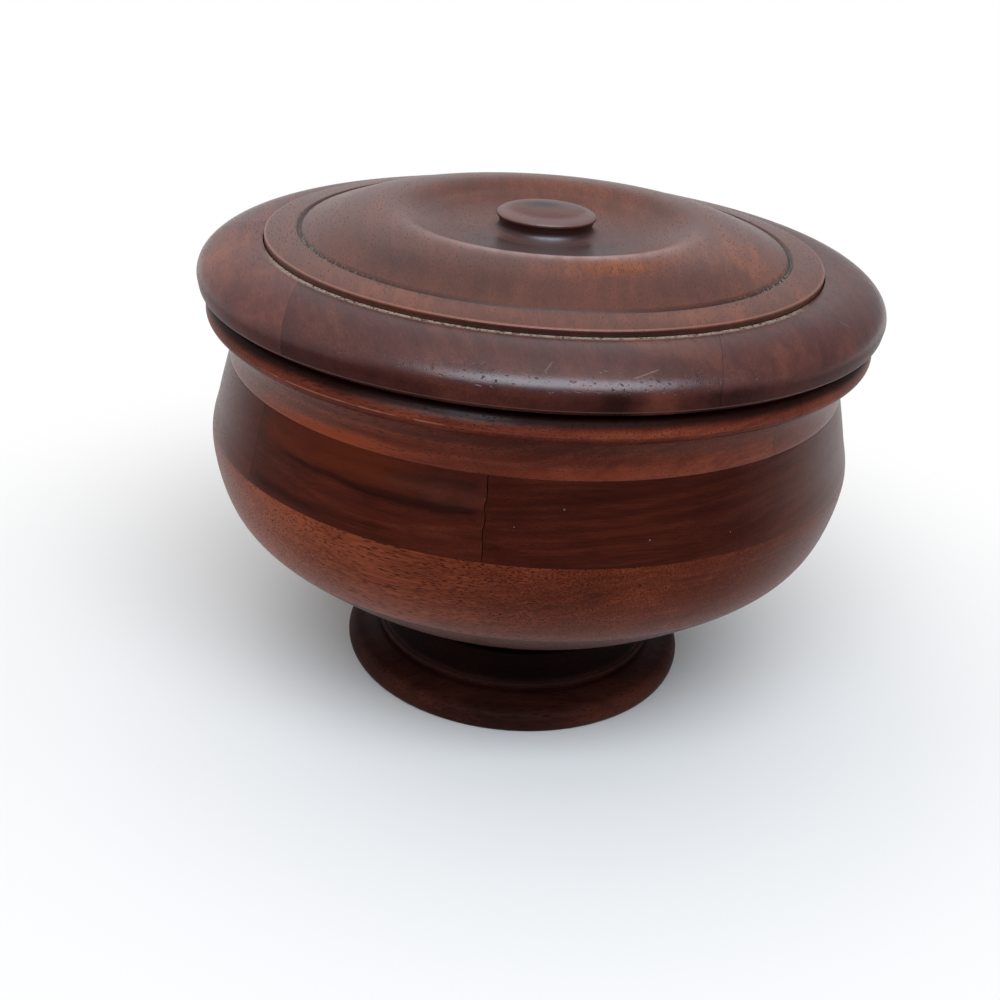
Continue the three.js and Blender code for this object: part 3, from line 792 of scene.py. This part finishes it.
def lid_touches(spot):
    """Beige dust packed along the foot of the panel, small dents and scratches in the varnish
    where the light catches the rim, and a paler line on the lower arris, a painted highlight."""
    grit = spot.spread(1.1, 1.1, 3.0, 0.7, spot.place)
    reach = spot.azimuth.between(-78.0, -53.0, 48.0, 66.0)
    edge = 1 - (spot.radius + 4.0 * (grit - 0.5)).rise(105.6, 107.3)
    dust = edge * reach * grit.rise(0.36, 0.54) * spot.height.rise(174.0, 174.3)
    chips = spot.spread(2.2, 1.5, 2.0, 0.6, spot.place).rise(0.62, 0.72)
    front = spot.azimuth.bell(5.0, 30.0) * spot.height.bell(167.8, 2.6)
    scratches = sum_of(scratch(spot, *line) for line in SCRATCHES)
    # arris: a painted highlight along the rim's lower arris.
    arris = spot.height.bell(159.25, 0.16) * spot.radius.rise(127.0, 127.3)
    return [(dust, (0.34, 0.27, 0.20), 0.4, 0.12),
            (chips * front * 0.7, (0.030, 0.012, 0.012), 0.0, -0.35),
            (scratches * 0.4, (0.30, 0.21, 0.19), 0.2, 0.04),
            (arris * 0.45, (0.30, 0.17, 0.13), 0.1, 0.0)]


def lid_bare(spot):
    """Under its widest line the rim was never polished, so it hardly shines there. Above it the
    rim shines most at the front, and a little more at the far right than elsewhere."""
    polished = spot.height.rise(162.6, 166.2)
    front = spot.azimuth.bell(6.0, 24.0)
    return 1 - polished * (0.62 + 0.38 * front + 0.2 * spot.azimuth.rise(48.0, 62.0))


def lid_figure(spot):
    """Where the wood near the lower edge glows orange, a painted chatoyant sheen, the dark flecks
    beside it, a paler stretch at the left and another that slants across the front, and a mottle
    over all."""
    low = 1 - spot.height.rise(163.5, 167.0)
    # glow: a painted chatoyant sheen in the wood near the lower edge.
    glow = spot.azimuth.bell(18.0, 4.5) + 0.7 * spot.azimuth.bell(-6.0, 9.0)
    dusk = spot.azimuth.bell(11.5, 2.5) + 0.8 * spot.azimuth.bell(29.0, 5.0)
    left = patch(spot, -70.0, 122.0, 22.0, 9.0)
    slant = ((spot.azimuth - 1.1 * (spot.radius - 105.0)).rise(3.0, 12.0)
             * (1 - spot.azimuth.rise(22.0, 27.5)))
    mottle = spot.spread(16.0, 5.0, 2.0, 0.6) - 0.5
    return ((0.5 * glow - 0.35 * dusk - 0.22) * low + 0.3 * left
            + (0.20 * slant + 0.4 * mottle) * (1 - low))


sweep = 360 / LID_BLOCKS
half_gap = half_angle(BUTT_GAP, LID_JOINT_RADIUS)
left_joint = straight_joint(*LEFT_JOINT)
right_joint = straight_joint(*RIGHT_JOINT)
for number in range(LID_BLOCKS):
    block = turned(
        f"lid_rim_block_{number + 1}", lid_outline, LID_START + number * sweep + half_gap,
        sweep - 2 * half_gap, stations=LID_STATIONS,
        first={0: right_joint, 4: left_joint}.get(number, 0.0),
        last={3: left_joint, 4: right_joint}.get(number, 0.0))
    wood = varnished_wood(
        f"lid_rim_block_{number + 1}_hardwood", fibre=108.0 - 8.0 * (number % 2),
        heart=(-20.0 + 20.0 * number, -40.0), seed=50.0 + number, ring_width=4.5, bands=0.25,
        tones=shaded(LID_TONES, LID_SHADES[number]), pore_size=0.20, pore_gap=0.6,
        pore_length=5.0, pore_dark=0.22, pore_depth=0.015, clouds=0.5, roughness=0.30,
        wave=0.12, specular=0.66, figure=lid_figure, touches=lid_touches, bare=lid_bare)
    finish_piece(block, wood, "lid", "lid_rim_wood", f"lid_rim_segment_{number + 1}")

# The lid's panel: a disc of red-brown, open-pored hardwood glued into the rim's rebate. Its
# face has a flat border, a cut groove, and a low dome that is dished round the knob.
PANEL_RADIUS = 104.0
PANEL_TOP = 176.6
GROOVE_OUTER = (92.6, 178.3)
GROOVE_FLOOR = (91.3, 177.0)
GROOVE_INNER = (90.0, 178.6)
CREST = (58.0, 186.1)
DOME_SIDE = (74.0, 184.22)
DISH_SIDE = (47.0, 182.7)
DISH_FLOOR = 179.3
DISH_CURVE = [DISH_SIDE, (39.5, 180.25), (32.0, 179.4), (24.0, DISH_FLOOR)]
BORE_RADIUS = 8.3
BORE_FLOOR = 171.7
# The dish's grey: a painted reflection of the pale surroundings.
DISH_PAINTED_REFLECTION = (0.095, 0.066, 0.063)
panel_outline = np.vstack([
    [(0.0, PANEL_SEAT)],
    [(PANEL_RADIUS, PANEL_SEAT)],
    eased((PANEL_RADIUS, PANEL_SEAT), (PANEL_RADIUS, PANEL_TOP), GROOVE_OUTER, 0.7, 6),
    eased((PANEL_RADIUS, PANEL_TOP), GROOVE_OUTER, GROOVE_FLOOR, 0.35, 4),
    eased(GROOVE_OUTER, GROOVE_FLOOR, GROOVE_INNER, 0.8, 6),
    flowing([GROOVE_INNER, DOME_SIDE, CREST, *DISH_CURVE], 14),
    [(BORE_RADIUS, DISH_FLOOR), (BORE_RADIUS, BORE_FLOOR), (0.0, BORE_FLOOR)],
])
lid_panel = turned("lid_disc", panel_outline)


def panel_figure(spot):
    """Chatoyant wood: patches that glow more orange, a painted sheen broken into stripes along
    the grain, paler on the crest as a painted highlight, and darker patches on the dome's sides,
    with one in the dish in front of the knob that is painted shade."""
    ripple = 0.55 + 0.9 * (spot.spread(30.0, 2.6, 2.0) - 0.5).rise(-0.25, 0.25)
    # glow: a painted chatoyant sheen.
    glow = (0.8 * patch(spot, 22.0, 66.0, 18.0, 7.0) + 0.3 * patch(spot, 5.0, 72.0, 10.0, 7.0)
            + 0.5 * patch(spot, 62.0, 76.0, 26.0, 14.0) + 0.35 * patch(spot, 168.0, 54.0, 26.0, 8.0)
            + 0.35 * patch(spot, -28.0, 96.0, 40.0, 6.0) + 0.4 * patch(spot, 30.0, 97.0, 22.0, 5.0))
    # dusk: darker patches; the last one, in the dish in front of the knob, is painted shade.
    dusk = (0.3 * patch(spot, 42.0, 78.0, 14.0, 10.0) + 0.3 * patch(spot, -30.0, 80.0, 40.0, 12.0)
            + 0.1 * patch(spot, 0.0, 85.0, 40.0, 6.0) + 1.1 * patch(spot, -2.0, 33.0, 30.0, 13.0))
    # crest: a painted highlight along the dome's crest.
    crest = spot.radius.bell(57.5, 3.0) * spot.azimuth.bell(8.0, 50.0)
    return 0.55 * glow * ripple + 0.35 * crest - dusk


def panel_touches(spot):
    """A dark groove, with pale specks of dust at its left and right, a pale line on the dome's
    crest as a painted highlight, a grey painted reflection in the dish, and painted shade on the
    front of the edge that stands over the rim, under a paler arris that is a painted highlight."""
    grit = spot.spread(1.0, 1.0, 3.0, 0.7, spot.place)
    groove = spot.radius.bell(91.3, 0.95)
    sides = spot.azimuth.bell(-62.0, 22.0) + spot.azimuth.bell(66.0, 18.0)
    specks = groove * sides.held() * grit.rise(0.5, 0.62)
    front = spot.azimuth.bell(5.0, 58.0)
    # edge: painted shade on the front of the panel's edge.
    edge = spot.radius.rise(103.35, 103.75) * (1 - spot.height.rise(175.7, 176.2)) * front
    # arris: a painted highlight on the panel's top arris.
    arris = spot.radius.bell(103.55, 0.30) * spot.height.rise(176.15, 176.4)
    drift = spot.spread(12.0, 4.0, 2.0)
    # crest: a painted highlight along the dome's crest.
    crest = (spot.radius.bell(57.5, 3.8) * spot.azimuth.bell(6.0, 44.0)
             * (0.5 + 0.5 * drift.rise(0.3, 0.6)))
    # dish: a painted grey reflection in the dish in front of the knob.
    dish = (1 - spot.radius.rise(34.0, 46.0)) * spot.azimuth.bell(5.0, 62.0)
    return [(groove * 0.95, (0.010, 0.0045, 0.0035), 0.1, 0.0),
            (crest * 0.6, (0.46, 0.30, 0.28), 0.1, 0.0),
            (dish * 0.6, DISH_PAINTED_REFLECTION, 0.1, 0.0),
            (edge * 0.8, (0.020, 0.0045, 0.003), 0.1, 0.0),
            (arris * 0.55, (0.42, 0.17, 0.11), 0.0, 0.0),
            (specks, (0.36, 0.29, 0.23), 0.4, 0.1)]


def panel_bare(spot):
    """The varnish is thin where the dome glows at the front, and in the dish round the knob."""
    return 0.75 * patch(spot, 22.0, 67.0, 20.0, 8.0) + 0.2 * (1 - spot.radius.rise(36.0, 44.0))


panel_wood = varnished_wood(
    "lid_disc_varnished_hardwood", fibre=96.0, heart=(20.0, -60.0), seed=70.0, ring_width=4.0,
    bands=0.25, tones=[(0.048, 0.012, 0.007), (0.115, 0.029, 0.015), (0.240, 0.066, 0.026)],
    pore_size=0.21, pore_gap=0.6, pore_length=4.5, pore_dark=0.62, pore_depth=0.03, clouds=0.55,
    roughness=0.31, specular=0.5, figure=panel_figure, touches=panel_touches, bare=panel_bare)
finish_piece(lid_panel, panel_wood, "lid", "lid_panel_wood", "lid_panel")

# The knob: a flat button turned from the same red-brown hardwood, domed a little on top. Its
# side is hollowed to a short stem that flares into the dish, and under it a spigot is glued
# into the panel.
KNOB_RADIUS = 18.7
KNOB_RIM = 185.6
KNOB_DOME = 3.4
KNOB_ARRIS = (0.4, 0.6)
KNOB_SPIGOT = 8.0
KNOB_STATIONS = 120
SPIGOT_FLOOR = 172.0
STEM_CURVE = [(22.0, DISH_FLOOR), (19.7, 179.75), (18.1, 180.8), (17.5, 182.2), (17.8, 183.8),
              (18.3, 184.9)]
knob_outline = np.vstack([
    [(0.0, SPIGOT_FLOOR), (KNOB_SPIGOT, SPIGOT_FLOOR), (KNOB_SPIGOT, DISH_FLOOR)],
    flowing(STEM_CURVE, 6),
    arc((KNOB_RADIUS - KNOB_ARRIS[0], KNOB_RIM - 0.2), *KNOB_ARRIS, -65, 40, 6),
    arc((0.0, KNOB_RIM), KNOB_RADIUS - 0.05, KNOB_DOME, 9, 90, 30),
])
knob = turned("lid_button", knob_outline, stations=KNOB_STATIONS)


def knob_touches(spot):
    """A grey-brown smudge of old polish on the middle of the top, a pale rim that is a painted
    sheen, the side dark with painted shade, a painted highlight low down at its front, and the
    dish's grey painted reflection on the flare."""
    drift = spot.spread(8.0, 5.0, 2.0)
    off_centre = (spot.x + 2.0) * (spot.x + 2.0) * 0.45 + (spot.y - 1.8) * (spot.y - 1.8)
    smudge = (1 - off_centre ** 0.5 * (1 / 8.0)).rise(0.0, 0.9) * drift.rise(0.10, 0.36)
    # pale: a painted sheen on the rim of the top.
    pale = spot.radius.rise(12.5, 16.5) * spot.height.rise(185.6, 185.9)
    # side: painted shade on the knob's side.
    side = spot.height.between(179.8, 181.0, 184.6, 185.3)
    # flare: the dish's painted grey reflection carried onto the flare.
    flare = (1 - spot.height.rise(180.0, 181.2)) * spot.azimuth.bell(5.0, 62.0)
    # gleam: a painted highlight low on the front of the stem.
    gleam = spot.azimuth.bell(7.0, 20.0) * spot.height.bell(181.0, 0.75)
    return [(smudge * spot.height.rise(186.0, 187.0) * 0.9, (0.013, 0.010, 0.010), 0.06, 0.0),
            (pale * 0.34, (0.34, 0.24, 0.22), 0.1, 0.0),
            (flare * 0.6, DISH_PAINTED_REFLECTION, 0.1, 0.0),
            (side * 0.8, (0.020, 0.0055, 0.004), 0.05, 0.0),
            (gleam * 0.6, (0.26, 0.22, 0.24), 0.0, 0.0)]


knob_wood = varnished_wood(
    "lid_button_varnished_hardwood", fibre=20.0, heart=(6.0, 60.0), seed=80.0, ring_width=2.6,
    tones=[(0.042, 0.0115, 0.008), (0.095, 0.0255, 0.016), (0.170, 0.047, 0.027)], bands=0.25,
    pore_size=0.15, pore_depth=0.02, roughness=0.36, specular=0.45, touches=knob_touches)
finish_piece(knob, knob_wood, "lid", "lid_knob_wood", "lid_knob")

# The studio: a pale floor and white surroundings, as the camera sees them, a bright lamp like a
# window above the front and a weak one overhead. What the varnish reflects is greyer, and dark
# low down in front, where the room is unlit. The floor's spans are in metres: towards the back,
# or outwards from the bowl. The walls' are cosines with the rightward and the frontward way.
FLOOR_REACH = 9
FLOOR_LEVEL = -0.0001
PLAIN_WHITE = (1.0, 1.0, 1.0, 1)
FLOOR_PALE = (0.90, 0.865, 0.815, 1)
FLOOR_UNLIT = (0.10, 0.10, 0.10, 1)
FLOOR_LIT = (-0.34, -0.21)
MIRRORED_FRONT = (-0.30, -0.21)
MIRRORED_REACH = (0.18, 0.42)
SEEN_REACH = (0.13, 0.34)
WALLS_LEFT = (0.67, 0.67, 0.69, 1)
WALLS_RIGHT = (0.34, 0.34, 0.355, 1)
ROOM_UNLIT = (0.04, 0.036, 0.036, 1)
WALLS_TURN = (0.05, 0.62)
ROOM_SPAN = (0.35, 0.80)
BOWL_MIDDLE = (0.0, 0.0, 0.11)
floor_corners = [(x * FLOOR_REACH, y * FLOOR_REACH, FLOOR_LEVEL)
                 for x, y in ((-1, -1), (1, -1), (1, 1), (-1, 1))]
floor_mesh = bpy.data.meshes.new("floor")
floor_mesh.from_pydata(floor_corners, [], [(0, 1, 2, 3)])
floor = bpy.data.objects.new("floor", floor_mesh)
bpy.context.collection.objects.link(floor)
floor_paint = bpy.data.materials.new("pale_floor")
floor_paint.use_nodes = True
floor_paint.node_tree.nodes.clear()
ground = Shade(floor_paint.node_tree)
ground_place = ground.node("ShaderNodeTexCoord", {}, {}, "Object")
ground_y = ground.node("ShaderNodeSeparateXYZ", {}, {0: ground_place}, 1)
ground_reach = ground.node("ShaderNodeVectorMath", {"operation": "LENGTH"},
                           {0: ground_place}, "Value")
eye = ground.node("ShaderNodeLightPath", {}, {}, "Is Camera Ray")
mirror = ground.node("ShaderNodeLightPath", {}, {}, "Is Glossy Ray")
through = ground.node("ShaderNodeLightPath", {}, {}, "Is Transmission Ray")
lit = (ground_y.rise(*FLOOR_LIT) + eye).held()
ground_paint = ground.node("ShaderNodeBsdfDiffuse", {},
                           {"Color": lit.tint(FLOOR_UNLIT, FLOOR_PALE)})
ground_white = ground.node("ShaderNodeEmission", {}, {"Color": PLAIN_WHITE, "Strength": 1.0})
mirrored = (ground_reach.rise(*MIRRORED_REACH) * ground_y.rise(*MIRRORED_FRONT)
            * (mirror + through))
backdrop = (ground_reach.rise(*SEEN_REACH) * eye + mirrored).held()
ground_shader = ground.node("ShaderNodeMixShader", {}, {
    0: backdrop, 1: ground_paint, 2: ground_white})
ground.node("ShaderNodeOutputMaterial", {}, {"Surface": ground_shader})
floor_mesh.materials.append(floor_paint)

world = bpy.data.worlds.new("studio")
world.use_nodes = True
world.node_tree.nodes.clear()
sky = Shade(world.node_tree)
direction = sky.node("ShaderNodeTexCoord", {}, {}, "Generated")
frontward, rightward = (
    sky.node("ShaderNodeVectorMath", {"operation": "DOT_PRODUCT"}, {0: direction, 1: way}, "Value")
    for way in ((0.0, -1.0, 0.0), (1.0, 0.0, 0.0)))
walls = rightward.rise(*WALLS_TURN).tint(WALLS_LEFT, WALLS_RIGHT)
surroundings = frontward.rise(*ROOM_SPAN).tint(walls, ROOM_UNLIT)
straight = sky.node("ShaderNodeLightPath", {}, {}, "Is Camera Ray")
daylight = sky.node("ShaderNodeBackground", {}, {
    "Color": straight.tint(surroundings, PLAIN_WHITE), "Strength": 1.0})
sky.node("ShaderNodeOutputWorld", {}, {"Surface": daylight})
bpy.context.scene.world = world


def soft_lamp(name, azimuth, elevation, away, width, height, radiance, colour):
    """A flat rectangular lamp of a given radiance that faces the bowl's middle. It stands away
    metres off at (azimuth, elevation) in degrees, azimuth 0 being in front and + to the right,
    and its power is radiance * pi * area."""
    data = bpy.data.lights.new(name, "AREA")
    data.shape = "RECTANGLE"
    data.size = width
    data.size_y = height
    data.energy = radiance * math.pi * width * height
    data.color = colour
    lamp = bpy.data.objects.new(name, data)
    bpy.context.collection.objects.link(lamp)
    a = math.radians(azimuth - 90)
    e = math.radians(elevation)
    back = np.array([math.cos(e) * math.cos(a), math.cos(e) * math.sin(a), math.sin(e)])
    right = np.array([-math.sin(a), math.cos(a), 0.0])
    upward = np.cross(back, right)
    place = np.array(BOWL_MIDDLE) + away * back
    lamp.matrix_world = Matrix([[right[k], upward[k], back[k], place[k]] for k in range(3)]
                               + [[0, 0, 0, 1]])


soft_lamp("window_lamp", azimuth=9.0, elevation=51.0, away=1.7, width=1.9, height=0.82,
          radiance=6.3, colour=(0.76, 0.87, 1.0))
soft_lamp("ceiling_lamp", azimuth=-20.0, elevation=84.0, away=1.6, width=1.4, height=1.4,
          radiance=0.3, colour=(1.0, 0.95, 0.88))

# The camera stands half a metre from the bowl and looks down at it by about 26 degrees, turned
# a few degrees about its own axis.
CAMERA_PLACE = (0.0, -0.48236, 0.3056)
CAMERA_RIGHT = (0.996472, 0.052336, 0.065603)
CAMERA_UP = (-0.082047, 0.443261, 0.89263)
CAMERA_BACK = (0.017638, -0.894864, 0.445991)
FOCAL_LENGTH = 46.8
SENSOR_WIDTH = 36.0
NEAREST = 0.01
lens = bpy.data.cameras.new("camera")
lens.lens = FOCAL_LENGTH
lens.sensor_width = SENSOR_WIDTH
lens.clip_start = NEAREST
camera = bpy.data.objects.new("camera", lens)
bpy.context.collection.objects.link(camera)
camera.matrix_world = Matrix(
    [[CAMERA_RIGHT[k], CAMERA_UP[k], CAMERA_BACK[k], CAMERA_PLACE[k]] for k in range(3)]
    + [[0, 0, 0, 1]])
bpy.context.scene.camera = camera
bpy.context.scene.view_settings.view_transform = "Standard"
